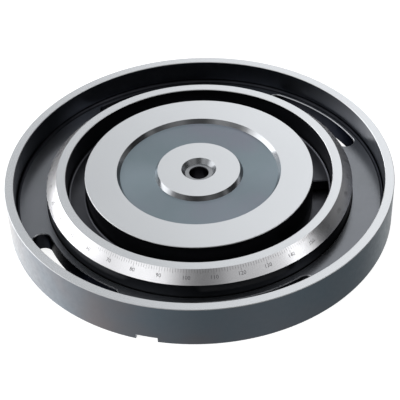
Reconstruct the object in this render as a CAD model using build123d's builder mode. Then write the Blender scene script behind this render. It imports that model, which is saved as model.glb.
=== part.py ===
from build123d import *
from math import cos, hypot, radians, sin, sqrt
import os

# Rotation stage: a ground turntable on a crossed-roller bearing in a flat round base.
# Millimetres, +Z up along the spin axis, origin at the centre of the underside.
# The two base keyways lie on -Y and +Y. At rest the dial reads 90 at -Y.

# ---------------------------------------------------------------- heights, from the underside up
base_floor = 4.5               # thin floor of the base under the turntable
floor_gap = 1.5                # running gap between base floor and turntable web
web_thickness = 9.0            # web of the turntable, up to the floor of its channel
bearing_width = 15.0
outer_clamp_thickness = 3.5
clamp_headroom = 2.0           # running gap between outer clamp ring and table plate
plate_thickness = 10.0         # table plate, up to the ground top face
recess_depth = 3.5             # blued recess in the table
dial_height = 11.0             # dial ring, from its seat on the turntable rim
bevel_run = 8.3                # graduated 45 degree bevel, the same inward and downward
hub_flange = 7.5               # hub above its seat in the table
boss_thickness = 7.5           # table boss that the hub is screwed to
hub_spigot_length = 15.5
cone_depth = 3.8               # lead-in cone above the bush
keyway_depth = 4.4
shim_thickness = 0.5
inner_clamp_thickness = 3.5
seal_lip = 0.8                 # ledge of the outer clamp ring under the felt

# ---------------------------------------------------------------- radii and walls, from the axis outward
bore_radius = 7.2              # centre bore
bush_wall = 3.5
cone_flare = 2.8
hub_spigot_wall = 13.3
hub_flange_width = 10.3
recess_width = 26.9            # recess floor, from the hub outward
slope_run = 2.3                # how far the hub and recess walls lean
spigot_wall = 11.0             # turntable spigot inside the bearing
pitch_radius = 65.0            # circle through the roller centres
ring_section = 10.0            # bearing rings, each from the pitch circle
ring_parting = 0.5             # inner and outer ring faces, each from the pitch circle
shoulder_setback = 2.5         # turntable shoulder, inside the pitch circle
eye_setback = 1.0              # round opening in the base floor, outside the pitch circle
inner_clamp_overlap = 6.0      # how far the inner clamp ring reaches under its bearing ring
housing_wall = 7.4             # wall of the base round the bearing
skirt_gap = 1.0                # running gap between that wall and the turntable skirt
skirt_wall = 4.78
table_channel_width = 14.9
dial_width = 15.4
rotor_gap = 0.4                # running gap between turntable rim and base
clamp_channel_width = 24.1
rim_wall = 7.0

# ---------------------------------------------------------------- edges, slots, keyways, window
rim_fillet = 2.5               # root of the base rim on the clamp channel floor
channel_fillet = 2.0           # both roots of the channel between table and dial
edge_break = 0.4               # broken edges of the turned pieces
bore_chamfer = 0.5
slot_width = 14.0              # clamp slots, for M12 bolts
slot_half_span = 17.6          # degrees, from the middle of a slot to the centre of its round end
slot_offset = 57.0             # degrees, from the X axis to the middle of each slot
slot_chamfer = 0.6
keyway_width = 16.0
keyway_length = 24.0
window_width = 12.8            # window through the turntable web, outward from the table wall
window_end = 18.1              # degrees, the end of the window with the larger angle
window_span = 48.0             # degrees
window_chamfer = 0.8

# ---------------------------------------------------------------- rollers
roller_diameter = 8.0
roller_shortfall = 0.4         # a roller is this much shorter than its diameter
roller_count = 30              # even: neighbours cross at 90 degrees
race_clearance = 0.025         # each side of a roller
spacer_inset = 0.4             # spacer side to the race
spacer_half_length = 4.2       # along the pitch circle
spacer_clearance = 0.1         # spacer saddle to its roller
seal_gap = 0.3                 # felt to the turntable shoulder
seal_width = 4.2

# ---------------------------------------------------------------- fasteners and fits
fit_clearance = 0.02           # located diameters, each side
screw_clearance = 0.1          # round screws, each side
dial_screw_count = 4
dial_dowel_count = 2
hub_screw_count = 4
hub_dowel_count = 2
inner_screw_count = 6
outer_screw_count = 6
m4_radius = 2.0
m4_head_radius = 3.5
m4_head_height = 4.0
m3_radius = 1.5
dowel_radius = 2.0
head_sink = 0.2                # cap heads below the face round them
screw_bite = 7.0               # thread length of the ring screws
hub_bite = 5.0                 # thread length in the thin hub flange
spigot_relief = 0.2            # spigot end to the inner clamp ring

# ---------------------------------------------------------------- worked out from the above
web_bottom = base_floor + floor_gap
channel_floor = web_bottom + web_thickness
bearing_top = base_floor + bearing_width
bearing_middle = base_floor + bearing_width / 2
housing_top = bearing_top - shim_thickness
outer_clamp_top = bearing_top + outer_clamp_thickness
inner_clamp_bottom = base_floor - inner_clamp_thickness
plate_bottom = outer_clamp_top + clamp_headroom
top = plate_bottom + plate_thickness
recess_floor = top - recess_depth
dial_seat = top - dial_height
hub_seat = top - hub_flange
hub_bottom = hub_seat - hub_spigot_length
boss_bottom = hub_seat - boss_thickness
cone_floor = top - cone_depth

bush_radius = bore_radius + bush_wall
hub_spigot_radius = bush_radius + hub_spigot_wall
hub_radius = hub_spigot_radius + hub_flange_width
recess_radius = hub_radius + recess_width
bearing_inner_radius = pitch_radius - ring_section
bearing_outer_radius = pitch_radius + ring_section
spigot_radius = bearing_inner_radius - fit_clearance
spigot_inner_radius = spigot_radius - spigot_wall
shoulder_radius = pitch_radius - shoulder_setback
base_eye_radius = pitch_radius + eye_setback
housing_inner_radius = bearing_outer_radius + fit_clearance
housing_outer_radius = housing_inner_radius + housing_wall
skirt_inner_radius = housing_outer_radius + skirt_gap
table_radius = skirt_inner_radius + skirt_wall
window_outer_radius = table_radius + window_width
dial_inner_radius = table_radius + table_channel_width
rotor_radius = dial_inner_radius + dial_width
base_bore_radius = rotor_radius + rotor_gap
slot_circle_radius = base_bore_radius + clamp_channel_width / 2
rim_inner_radius = base_bore_radius + clamp_channel_width
base_radius = rim_inner_radius + rim_wall
seal_outer_radius = shoulder_radius + seal_gap + seal_width
seal_bottom = bearing_top + seal_lip
race_side = roller_diameter + 2 * race_clearance
race_reach = race_side / sqrt(2)
dial_screw_circle = (dial_inner_radius + rotor_radius) / 2
hub_screw_circle = (hub_spigot_radius + hub_radius) / 2
inner_screw_circle = spigot_radius - spigot_wall / 2
outer_screw_circle = housing_outer_radius - housing_wall / 2


def turned(*points):
    """Closed (radius, height) outline, ready to be turned about the spin axis."""
    with BuildSketch(Plane.XZ) as outline:
        with BuildLine():
            Polyline(*points, close=True)
        make_face()
    return outline.sketch


def ray(angle):
    """Point well outside the stage, at an angle in degrees from the X axis."""
    return (2 * base_radius * cos(radians(angle)), 2 * base_radius * sin(radians(angle)))


def rims(part, *circles):
    """Round edges of a turned part, each picked by its radius and height."""
    return [
        edge
        for edge in part.edges().filter_by(GeomType.CIRCLE)
        for radius, height in circles
        if abs(edge.radius - radius) < 0.01 and abs(edge.arc_center.Z - height) < 0.01
    ]


def posts(radius, circle, count, first_angle, bottom, height):
    """Round posts on a circle: the dowels themselves, or the holes that take them."""
    with BuildPart() as group:
        with BuildSketch(Plane.XY.offset(bottom)):
            with PolarLocations(circle, count, start_angle=first_angle):
                Circle(radius)
        extrude(amount=height)
    return group.part


def cap_screw(radius, head_radius, head_height, length):
    """Cap screw that stands head down on the origin, its shank along +Z."""
    with BuildPart() as screw:
        Cylinder(head_radius, head_height, align=(Align.CENTER, Align.CENTER, Align.MIN))
        with Locations((0, 0, head_height)):
            Cylinder(radius, length, align=(Align.CENTER, Align.CENTER, Align.MIN))
    return screw.part


def countersunk_screw(radius, length):
    """Countersunk screw with its flat head face on the origin, its shank along +Z."""
    with BuildPart() as screw:
        Cone(2 * radius, radius, radius, align=(Align.CENTER, Align.CENTER, Align.MIN))
        with Locations((0, 0, radius)):
            Cylinder(radius, length - radius, align=(Align.CENTER, Align.CENTER, Align.MIN))
    return screw.part


def dial_dowel_posts(radius):
    """Dowels that locate the dial ring, half in the turntable rim and half in the ring."""
    first_angle = 180 / dial_screw_count
    bottom = dial_seat - screw_bite
    return posts(radius, dial_screw_circle, dial_dowel_count, first_angle, bottom, 2 * screw_bite)


def hub_dowel_posts(radius):
    """Dowels that locate the hub, through the boss and into the hub flange."""
    first_angle = 180 / hub_screw_count
    height = hub_seat - boss_bottom + hub_bite
    return posts(radius, hub_screw_circle, hub_dowel_count, first_angle, boss_bottom, height)


def crossed_roller(lean):
    """Roller on the +X side of the pitch circle, its axis 45 degrees to the spin axis."""
    length = roller_diameter - roller_shortfall
    with BuildPart() as roller:
        with Locations(Location((pitch_radius, 0, bearing_middle), (0, 45 * lean, 0))):
            Cylinder(roller_diameter / 2, length)
    return roller.part


def roller_spacer(lean):
    """Saddle between a roller that leans one way and its neighbour that leans the other way."""
    half_pitch = 180 / roller_count
    side = race_side - 2 * spacer_inset
    saddle_radius = roller_diameter / 2 + spacer_clearance
    with BuildPart() as spacer:
        with Locations(Location((pitch_radius, 0, bearing_middle), (0, 45, 0))):
            Box(side, 2 * spacer_half_length, side)
        for turn in (-1, 1):
            angle = turn * half_pitch
            place = (pitch_radius * cos(radians(angle)), pitch_radius * sin(radians(angle)), bearing_middle)
            roller_place = Location(place, (0, 0, angle)) * Location((0, 0, 0), (0, -45 * lean * turn, 0))
            with Locations(roller_place):
                Cylinder(saddle_radius, 2 * roller_diameter, mode=Mode.SUBTRACT)
    return spacer.part


# ================================================================ base
with BuildPart() as base_housing:
    revolve(
        turned(
            (base_eye_radius, 0),
            (base_radius, 0),
            (base_radius, top),
            (rim_inner_radius, top),
            (rim_inner_radius, channel_floor),
            (base_bore_radius, channel_floor),
            (base_bore_radius, base_floor),
            (housing_outer_radius, base_floor),
            (housing_outer_radius, housing_top),
            (housing_inner_radius, housing_top),
            (housing_inner_radius, base_floor),
            (base_eye_radius, base_floor),
        ),
        axis=Axis.Z,
    )
    fillet(rims(base_housing, (rim_inner_radius, channel_floor)), rim_fillet)
    broken = rims(
        base_housing,
        (base_radius, 0),
        (base_radius, top),
        (rim_inner_radius, top),
        (base_bore_radius, channel_floor),
    )
    chamfer(broken, edge_break)
    # Four clamp slots, in pairs either side of the two keyways.
    with BuildSketch():
        for middle in (slot_offset, 180 - slot_offset, 180 + slot_offset, 360 - slot_offset):
            slot_arc = CenterArc(
                (0, 0), slot_circle_radius, middle - slot_half_span, 2 * slot_half_span, mode=Mode.PRIVATE
            )
            SlotArc(slot_arc, slot_width)
    extrude(amount=channel_floor, mode=Mode.SUBTRACT)
    slot_rims = [
        edge
        for edge in base_housing.edges().filter_by_position(Axis.Z, channel_floor, channel_floor)
        if abs(hypot((edge @ 0.5).X, (edge @ 0.5).Y) - slot_circle_radius) < slot_width / 2 + 0.1
    ]
    chamfer(slot_rims, slot_chamfer)
    # Keyways in the underside, open to the outside wall.
    with BuildSketch():
        with PolarLocations(base_radius - keyway_length / 2, 2, start_angle=90):
            Rectangle(keyway_length, keyway_width)
    extrude(amount=keyway_depth, mode=Mode.SUBTRACT)
    # Threads for the outer clamp ring.
    with Locations((0, 0, housing_top)):
        with PolarLocations(outer_screw_circle, outer_screw_count):
            Hole(m3_radius + screw_clearance, depth=screw_bite + screw_clearance)

with BuildPart() as bearing_outer_lower:
    revolve(
        turned(
            (pitch_radius + ring_parting, base_floor),
            (bearing_outer_radius, base_floor),
            (bearing_outer_radius, bearing_middle),
            (pitch_radius + race_reach, bearing_middle),
            (pitch_radius + ring_parting, bearing_middle - race_reach + ring_parting),
        ),
        axis=Axis.Z,
    )

with BuildPart() as bearing_outer_upper:
    add(bearing_outer_lower.part.mirror(Plane.XY.offset(bearing_middle)))

with BuildPart() as preload_shim:
    with BuildSketch(Plane.XY.offset(housing_top)):
        Circle(housing_outer_radius)
        Circle(housing_inner_radius, mode=Mode.SUBTRACT)
        with PolarLocations(outer_screw_circle, outer_screw_count):
            Circle(m3_radius + screw_clearance, mode=Mode.SUBTRACT)
    extrude(amount=shim_thickness)

with BuildPart() as outer_clamp_ring:
    revolve(
        turned(
            (pitch_radius + ring_parting, bearing_top),
            (housing_outer_radius, bearing_top),
            (housing_outer_radius, outer_clamp_top),
            (seal_outer_radius + fit_clearance, outer_clamp_top),
            (seal_outer_radius + fit_clearance, seal_bottom),
            (pitch_radius + ring_parting, seal_bottom),
        ),
        axis=Axis.Z,
    )
    with Locations((0, 0, outer_clamp_top)):
        with PolarLocations(outer_screw_circle, outer_screw_count):
            CounterSinkHole(m3_radius + screw_clearance, 2 * m3_radius + screw_clearance)

with BuildPart() as outer_clamp_screws:
    outer_screw = countersunk_screw(m3_radius, outer_clamp_thickness + shim_thickness + screw_bite)
    with Locations(Location((0, 0, outer_clamp_top), (180, 0, 0))):
        with PolarLocations(outer_screw_circle, outer_screw_count):
            add(outer_screw)

with BuildPart() as felt_seal:
    with BuildSketch(Plane.XY.offset(seal_bottom)):
        Circle(seal_outer_radius)
        Circle(shoulder_radius + seal_gap, mode=Mode.SUBTRACT)
    extrude(amount=outer_clamp_top - seal_bottom)

# ================================================================ rollers between the races
with BuildPart() as bearing_rollers:
    for index in range(roller_count):
        with Locations(Location((0, 0, 0), (0, 0, 360 * index / roller_count))):
            add(crossed_roller(1 if index % 2 else -1))

with BuildPart() as roller_spacers:
    for index in range(roller_count):
        with Locations(Location((0, 0, 0), (0, 0, 360 * (index + 0.5) / roller_count))):
            add(roller_spacer(1 if index % 2 else -1))

# ================================================================ turntable
with BuildPart() as bearing_inner_ring:
    revolve(
        turned(
            (bearing_inner_radius, base_floor),
            (pitch_radius - ring_parting, base_floor),
            (pitch_radius - ring_parting, bearing_middle - race_reach + ring_parting),
            (pitch_radius - race_reach, bearing_middle),
            (pitch_radius - ring_parting, bearing_middle + race_reach - ring_parting),
            (pitch_radius - ring_parting, bearing_top),
            (bearing_inner_radius, bearing_top),
        ),
        axis=Axis.Z,
    )

with BuildPart() as turntable:
    revolve(
        turned(
            (hub_spigot_radius + fit_clearance, boss_bottom),
            (spigot_inner_radius, boss_bottom),
            (spigot_inner_radius, base_floor + spigot_relief),
            (spigot_radius, base_floor + spigot_relief),
            (spigot_radius, bearing_top),
            (shoulder_radius, bearing_top),
            (shoulder_radius, plate_bottom),
            (skirt_inner_radius, plate_bottom),
            (skirt_inner_radius, web_bottom),
            (rotor_radius, web_bottom),
            (rotor_radius, dial_seat),
            (dial_inner_radius, dial_seat),
            (dial_inner_radius, channel_floor),
            (table_radius, channel_floor),
            (table_radius, top),
            (recess_radius + slope_run, top),
            (recess_radius, recess_floor),
            (hub_radius + fit_clearance, recess_floor),
            (hub_radius + fit_clearance, hub_seat),
            (hub_spigot_radius + fit_clearance, hub_seat),
        ),
        axis=Axis.Z,
    )
    fillet(rims(turntable, (dial_inner_radius, channel_floor), (table_radius, channel_floor)), channel_fillet)
    chamfer(rims(turntable, (table_radius, top)), edge_break)
    # Window through the web, with its upper end edges broken.
    with BuildSketch(Plane.XY.offset(web_bottom)):
        Circle(window_outer_radius)
        Circle(table_radius, mode=Mode.SUBTRACT)
        with BuildLine():
            Polyline((0, 0), ray(window_end), ray(window_end - window_span), close=True)
        make_face(mode=Mode.INTERSECT)
    extrude(amount=top, mode=Mode.SUBTRACT)
    bar_side = sqrt(2) * window_chamfer
    edge_bar = Location((table_radius + window_width / 2, 0, channel_floor), (45, 0, 0))
    for end_angle in (window_end, window_end - window_span):
        with Locations(Location((0, 0, 0), (0, 0, end_angle)) * edge_bar):
            Box(window_width, bar_side, bar_side, mode=Mode.SUBTRACT)
    # Screws and dowels of the dial ring come up through the rim.
    with Locations(Location((0, 0, web_bottom), (180, 0, 0))):
        with PolarLocations(dial_screw_circle, dial_screw_count):
            CounterBoreHole(
                m4_radius + screw_clearance, m4_head_radius + screw_clearance, m4_head_height + head_sink
            )
    add(dial_dowel_posts(dowel_radius + fit_clearance), mode=Mode.SUBTRACT)
    # Screws and dowels of the hub come up through the boss.
    with Locations(Location((0, 0, boss_bottom), (180, 0, 0))):
        with PolarLocations(hub_screw_circle, hub_screw_count):
            CounterBoreHole(
                m4_radius + screw_clearance, m4_head_radius + screw_clearance, m4_head_height + head_sink
            )
    add(hub_dowel_posts(dowel_radius + fit_clearance), mode=Mode.SUBTRACT)
    # Threads for the inner clamp ring.
    with Locations(Location((0, 0, base_floor + spigot_relief), (180, 0, 0))):
        with PolarLocations(inner_screw_circle, inner_screw_count):
            Hole(m4_radius + screw_clearance, depth=screw_bite + screw_clearance)

with BuildPart() as inner_clamp_ring:
    revolve(
        turned(
            (spigot_inner_radius, inner_clamp_bottom),
            (bearing_inner_radius + inner_clamp_overlap, inner_clamp_bottom),
            (bearing_inner_radius + inner_clamp_overlap, base_floor),
            (spigot_inner_radius, base_floor),
        ),
        axis=Axis.Z,
    )
    with Locations(Location((0, 0, inner_clamp_bottom), (180, 0, 0))):
        with PolarLocations(inner_screw_circle, inner_screw_count):
            CounterSinkHole(m4_radius + screw_clearance, 2 * m4_radius + screw_clearance)

with BuildPart() as inner_clamp_screws:
    inner_screw = countersunk_screw(m4_radius, inner_clamp_thickness + screw_bite)
    with Locations((0, 0, inner_clamp_bottom)):
        with PolarLocations(inner_screw_circle, inner_screw_count):
            add(inner_screw)

# ================================================================ dial ring
with BuildPart() as dial_ring:
    revolve(
        turned(
            (dial_inner_radius, dial_seat),
            (rotor_radius, dial_seat),
            (rotor_radius, top - bevel_run),
            (rotor_radius - bevel_run, top),
            (dial_inner_radius, top),
        ),
        axis=Axis.Z,
    )
    chamfer(rims(dial_ring, (dial_inner_radius, top)), edge_break)
    with Locations(Location((0, 0, dial_seat), (180, 0, 0))):
        with PolarLocations(dial_screw_circle, dial_screw_count):
            Hole(m4_radius + screw_clearance, depth=screw_bite + screw_clearance)
    add(dial_dowel_posts(dowel_radius + fit_clearance), mode=Mode.SUBTRACT)

with BuildPart() as dial_ring_screws:
    dial_grip = dial_seat - web_bottom - head_sink - m4_head_height
    dial_screw = cap_screw(m4_radius, m4_head_radius, m4_head_height, dial_grip + screw_bite)
    with Locations((0, 0, web_bottom + head_sink)):
        with PolarLocations(dial_screw_circle, dial_screw_count):
            add(dial_screw)

with BuildPart() as dial_ring_dowels:
    add(dial_dowel_posts(dowel_radius))

# ================================================================ hub and bush
with BuildPart() as centre_hub:
    revolve(
        turned(
            (bush_radius + fit_clearance, hub_bottom),
            (hub_spigot_radius, hub_bottom),
            (hub_spigot_radius, hub_seat),
            (hub_radius, hub_seat),
            (hub_radius, recess_floor),
            (hub_radius - slope_run, top),
            (bush_radius + cone_flare, top),
            (bush_radius + fit_clearance, cone_floor),
        ),
        axis=Axis.Z,
    )
    with Locations(Location((0, 0, hub_seat), (180, 0, 0))):
        with PolarLocations(hub_screw_circle, hub_screw_count):
            Hole(m4_radius + screw_clearance, depth=hub_bite + screw_clearance)
    add(hub_dowel_posts(dowel_radius + fit_clearance), mode=Mode.SUBTRACT)

with BuildPart() as hub_screws:
    hub_grip = hub_seat - boss_bottom - head_sink - m4_head_height
    hub_screw = cap_screw(m4_radius, m4_head_radius, m4_head_height, hub_grip + hub_bite)
    with Locations((0, 0, boss_bottom + head_sink)):
        with PolarLocations(hub_screw_circle, hub_screw_count):
            add(hub_screw)

with BuildPart() as hub_dowels:
    add(hub_dowel_posts(dowel_radius))

with BuildPart() as centre_bush:
    revolve(
        turned(
            (bore_radius, hub_bottom),
            (bush_radius, hub_bottom),
            (bush_radius, cone_floor),
            (bore_radius + bore_chamfer, cone_floor),
            (bore_radius, cone_floor - bore_chamfer),
        ),
        axis=Axis.Z,
    )

# ================================================================ names and files
pieces = {
    "base_housing": base_housing,
    "bearing_outer_lower": bearing_outer_lower,
    "bearing_outer_upper": bearing_outer_upper,
    "preload_shim": preload_shim,
    "outer_clamp_ring": outer_clamp_ring,
    "outer_clamp_screws": outer_clamp_screws,
    "felt_seal": felt_seal,
    "bearing_rollers": bearing_rollers,
    "roller_spacers": roller_spacers,
    "bearing_inner_ring": bearing_inner_ring,
    "turntable": turntable,
    "inner_clamp_ring": inner_clamp_ring,
    "inner_clamp_screws": inner_clamp_screws,
    "dial_ring": dial_ring,
    "dial_ring_screws": dial_ring_screws,
    "dial_ring_dowels": dial_ring_dowels,
    "centre_hub": centre_hub,
    "hub_screws": hub_screws,
    "hub_dowels": hub_dowels,
    "centre_bush": centre_bush,
}
os.makedirs("parts", exist_ok=True)
for piece_name, piece in pieces.items():
    piece.part.label = piece_name
    export_step(piece.part, f"parts/{piece_name}.step")
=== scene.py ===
import logging
import math
from dataclasses import dataclass, field
from enum import Enum
from typing import Optional, Sequence

import bpy
import numpy as np
from mathutils import Matrix, Vector


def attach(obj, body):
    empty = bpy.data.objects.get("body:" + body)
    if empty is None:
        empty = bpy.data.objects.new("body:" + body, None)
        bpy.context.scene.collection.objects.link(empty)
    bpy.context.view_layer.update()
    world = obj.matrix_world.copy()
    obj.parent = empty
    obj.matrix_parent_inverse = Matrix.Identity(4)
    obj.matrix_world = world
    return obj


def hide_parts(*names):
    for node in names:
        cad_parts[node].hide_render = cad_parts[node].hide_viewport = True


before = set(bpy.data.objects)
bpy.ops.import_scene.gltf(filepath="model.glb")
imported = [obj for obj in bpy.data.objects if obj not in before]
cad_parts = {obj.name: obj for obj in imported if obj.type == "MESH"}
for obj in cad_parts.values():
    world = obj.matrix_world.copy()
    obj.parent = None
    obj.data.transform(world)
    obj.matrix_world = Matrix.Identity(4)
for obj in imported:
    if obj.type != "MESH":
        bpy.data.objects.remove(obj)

LOG = logging.getLogger("rotation_stage")
MM = 0.001
Array = np.ndarray
Ring = Array
Colour = tuple[float, float, float]
Steps = tuple[tuple[float, float], ...]

# Circles that the fasteners stand on and radii of their holes, in millimetres.
DIAL_CIRCLE = 110.8
HUB_CIRCLE = 29.15
OUTER_CLAMP_CIRCLE = 78.72
INNER_CLAMP_CIRCLE = 49.48
M3_HOLE = 1.6
M4_HOLE = 2.1
M4_HEAD_HOLE = 3.6
DOWEL_HOLE = 2.02
CAP_SOCKET = (3.0, 2.0)  # hexagon across flats and its depth, of an M4 cap screw
DOWEL_START = 45.0  # degrees
OVERRUN = 0.5  # how far a cutter starts outside the face it cuts
COARSE = 360  # segments of a turned piece that is out of sight


# ---------------------------------------------------------------- mesh tools
@dataclass
class Outline:
    """Closed (radius, height) outline in millimetres, run with the solid on its left.

    Attributes:
        points: corners and arc points in order.
        skins: finish number of the stretch that leaves each point.
    """

    points: list[tuple[float, float]] = field(default_factory=list)
    skins: list[int] = field(default_factory=list)

    def at(self, radius: float, height: float) -> "Outline":
        """Sets the first point."""
        self.points.append((radius, height))
        return self

    def to(self, radius: float, height: float, skin: int = 0) -> "Outline":
        """Adds a straight stretch.

        Args:
            radius: radius of its end.
            height: height of its end.
            skin: finish number of the stretch.

        Returns:
            The outline, for the next stretch.
        """
        self.points.append((radius, height))
        self.skins.append(skin)
        return self

    def round_to(self, radius: float, height: float, centre: tuple[float, float], skin: int = 0,
                 steps: int = 12) -> "Outline":
        """Adds an arc, the short way round its centre.

        Args:
            radius: radius of its end.
            height: height of its end.
            centre: centre of the arc in the outline's plane.
            skin: finish number of the arc.
            steps: straight pieces of the arc.

        Returns:
            The outline, for the next stretch.
        """
        start = np.subtract(self.points[-1], centre)
        end = np.subtract((radius, height), centre)
        first = math.atan2(start[1], start[0])
        sweep = (math.atan2(end[1], end[0]) - first + math.pi) % (2 * math.pi) - math.pi
        size = float(np.hypot(*start))
        for angle in first + sweep * np.linspace(0, 1, steps + 1)[1:]:
            self.to(centre[0] + size * math.cos(angle), centre[1] + size * math.sin(angle), skin)
        return self

    def closed(self, skin: int = 0) -> "Outline":
        """Closes the outline with a stretch back to its first point."""
        self.skins.append(skin)
        return self


def crisp(mesh: bpy.types.Mesh, angle: float = math.radians(28), flat: float = 0.99999) -> None:
    """Shades a mesh smooth, with sharp edges at corners and where a level face meets a curved one.

    Args:
        mesh: the mesh to shade.
        angle: faces that meet at more than this are split.
        flat: a face is level where its normal's height is above this.
    """
    loop_count = len(mesh.loops)
    loop_edges = np.empty(loop_count, dtype=np.int64)
    mesh.loops.foreach_get("edge_index", loop_edges)
    totals = np.empty(len(mesh.polygons), dtype=np.int64)
    mesh.polygons.foreach_get("loop_total", totals)
    normals = np.empty(3 * len(mesh.polygons))
    mesh.polygons.foreach_get("normal", normals)
    normals = normals.reshape(-1, 3)
    faces = np.repeat(np.arange(len(totals)), totals)
    order = np.argsort(loop_edges, kind="stable")
    edges, first, count = np.unique(loop_edges[order], return_index=True, return_counts=True)
    pair = count == 2
    one = faces[order[first[pair]]]
    two = faces[order[first[pair] + 1]]
    level = np.abs(normals[:, 2]) > flat
    turn = np.sum(normals[one] * normals[two], axis=1)
    sharp = np.zeros(len(mesh.edges), dtype=bool)
    sharp[edges[pair]] = (turn < math.cos(angle)) | (level[one] != level[two])
    mesh.edges.foreach_set("use_edge_sharp", sharp)
    mesh.polygons.foreach_set("use_smooth", np.ones(len(totals), dtype=bool))
    mesh.update()


def new_object(name: str, vertices: Array, faces: Sequence[Sequence[int]], skins: Array,
               finishes: Sequence[bpy.types.Material]) -> bpy.types.Object:
    """Puts worked-out points and faces into an object at the origin.

    Args:
        name: name of the piece.
        vertices: points in millimetres, one row each.
        faces: point numbers of each face.
        skins: finish number of each face.
        finishes: the materials that the numbers stand for.

    Returns:
        The linked object.
    """
    mesh = bpy.data.meshes.new(name)
    mesh.from_pydata((np.asarray(vertices) * MM).tolist(), [], faces)
    for finish in finishes:
        mesh.materials.append(finish)
    mesh.polygons.foreach_set("material_index", np.asarray(skins, dtype=np.int32))
    mesh.update()
    piece = bpy.data.objects.new(name, mesh)
    bpy.context.scene.collection.objects.link(piece)
    return piece


def turned(name: str, outline: Outline, finishes: Sequence[bpy.types.Material],
           segments: int = 720) -> bpy.types.Object:
    """Surface of revolution: (u, v) goes to (r(v) cos u, r(v) sin u, z(v)), with r and z on the outline.

    Its UV map has u once round the axis and v along the outline in metres, so that u is the lay of the cut.

    Args:
        name: name of the piece.
        outline: the closed outline.
        finishes: materials by finish number.
        segments: steps round the axis.

    Returns:
        The closed piece.
    """
    profile = np.array(outline.points)
    rows = len(profile)
    turn = np.linspace(0, 2 * math.pi, segments, endpoint=False)
    vertices = np.empty((rows, segments, 3))
    vertices[..., 0] = profile[:, :1] * np.cos(turn)
    vertices[..., 1] = profile[:, :1] * np.sin(turn)
    vertices[..., 2] = profile[:, 1:]
    here = np.arange(rows)[:, None] * segments
    there = (np.arange(1, rows + 1) % rows)[:, None] * segments
    across = np.arange(segments)[None, :]
    beyond = (across + 1) % segments
    quads = np.stack([here + across, here + beyond, there + beyond, there + across], axis=-1).reshape(-1, 4)
    skins = np.repeat(outline.skins, segments)
    piece = new_object(name, vertices.reshape(-1, 3), quads.tolist(), skins, finishes)
    stretches = np.hypot(*np.diff(np.vstack([profile, profile[:1]]), axis=0).T)
    run = np.concatenate([[0], np.cumsum(stretches)]) * MM
    u = np.broadcast_to(np.arange(segments) / segments, (rows, segments))
    low = np.broadcast_to(run[:-1, None], (rows, segments))
    high = np.broadcast_to(run[1:, None], (rows, segments))
    step = 1 / segments
    uv = np.stack([u, low, u + step, low, u + step, high, u, high], axis=-1)
    piece.data.uv_layers.new(name="lay").uv.foreach_set("vector", uv.reshape(-1).astype(np.float32))
    crisp(piece.data)
    return piece


def circle(radius: float, height: float, centre: tuple[float, float] = (0.0, 0.0), sides: int = 48) -> Ring:
    """Level circle: (centre x + r cos t, centre y + r sin t, z).

    Args:
        radius: its radius.
        height: its height.
        centre: its centre, seen from above.
        sides: number of its points.

    Returns:
        The points, anticlockwise from above.
    """
    t = np.linspace(0, 2 * math.pi, sides, endpoint=False)
    x, y = centre
    return np.stack([x + radius * np.cos(t), y + radius * np.sin(t), np.full(sides, height)], axis=1)


def hexagon(across_flats: float, height: float, sides: int = 48) -> Ring:
    """Level hexagon in polar form: half the flats over cos of the angle from the nearest flat's middle.

    Args:
        across_flats: distance between opposite sides.
        height: its height.
        sides: number of its points.

    Returns:
        The points, anticlockwise from above.
    """
    t = np.linspace(0, 2 * math.pi, sides, endpoint=False)
    off = (t + math.pi / 6) % (math.pi / 3) - math.pi / 6
    reach = across_flats / 2 / np.cos(off)
    return np.stack([reach * np.cos(t), reach * np.sin(t), np.full(sides, height)], axis=1)


def arc_slot(middle: float, half_span: float, radius: float, half_width: float, height: float,
             end_sides: int = 24, run_sides: int = 60) -> Ring:
    """Level outline of an arc slot: two concentric runs, and half circles about the ends of its centre line.

    Args:
        middle: angle of the slot's middle, in degrees.
        half_span: degrees from the middle to an end's centre.
        radius: radius of the centre line.
        half_width: half the slot's width.
        height: height of the outline.
        end_sides: steps of a round end.
        run_sides: steps of a long side.

    Returns:
        The points, anticlockwise from above.
    """
    low = math.radians(middle - half_span)
    high = math.radians(middle + half_span)
    run = np.linspace(low, high, run_sides + 1)[:-1]
    swing = np.linspace(0, math.pi, end_sides + 1)[:-1]
    outer = (radius + half_width) * np.stack([np.cos(run), np.sin(run)], axis=1)
    back = run[::-1] + (high - low) / run_sides
    inner = (radius - half_width) * np.stack([np.cos(back), np.sin(back)], axis=1)
    far = radius * np.array([math.cos(high), math.sin(high)])
    near = radius * np.array([math.cos(low), math.sin(low)])
    far_end = far + half_width * np.stack([np.cos(high + swing), np.sin(high + swing)], axis=1)
    swing = low + math.pi + swing
    near_end = near + half_width * np.stack([np.cos(swing), np.sin(swing)], axis=1)
    flat = np.concatenate([outer, far_end, inner, near_end])
    return np.column_stack([flat, np.full(len(flat), height)])


def sector(start: float, end: float, inner: float, outer: float, height: float, steps: int = 96) -> Ring:
    """Level outline of an annular sector: out along the outer arc and back along the inner one.

    Args:
        start: angle of one end, in degrees.
        end: angle of the other end, in degrees.
        inner: radius of the inner arc.
        outer: radius of the outer arc.
        height: height of the outline.
        steps: points along each arc.

    Returns:
        The points, anticlockwise from above.
    """
    angle = np.radians(np.linspace(start, end, steps))
    ahead = outer * np.stack([np.cos(angle), np.sin(angle)], axis=1)
    back = inner * np.stack([np.cos(angle[::-1]), np.sin(angle[::-1])], axis=1)
    flat = np.concatenate([ahead, back])
    return np.column_stack([flat, np.full(len(flat), height)])


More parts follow.
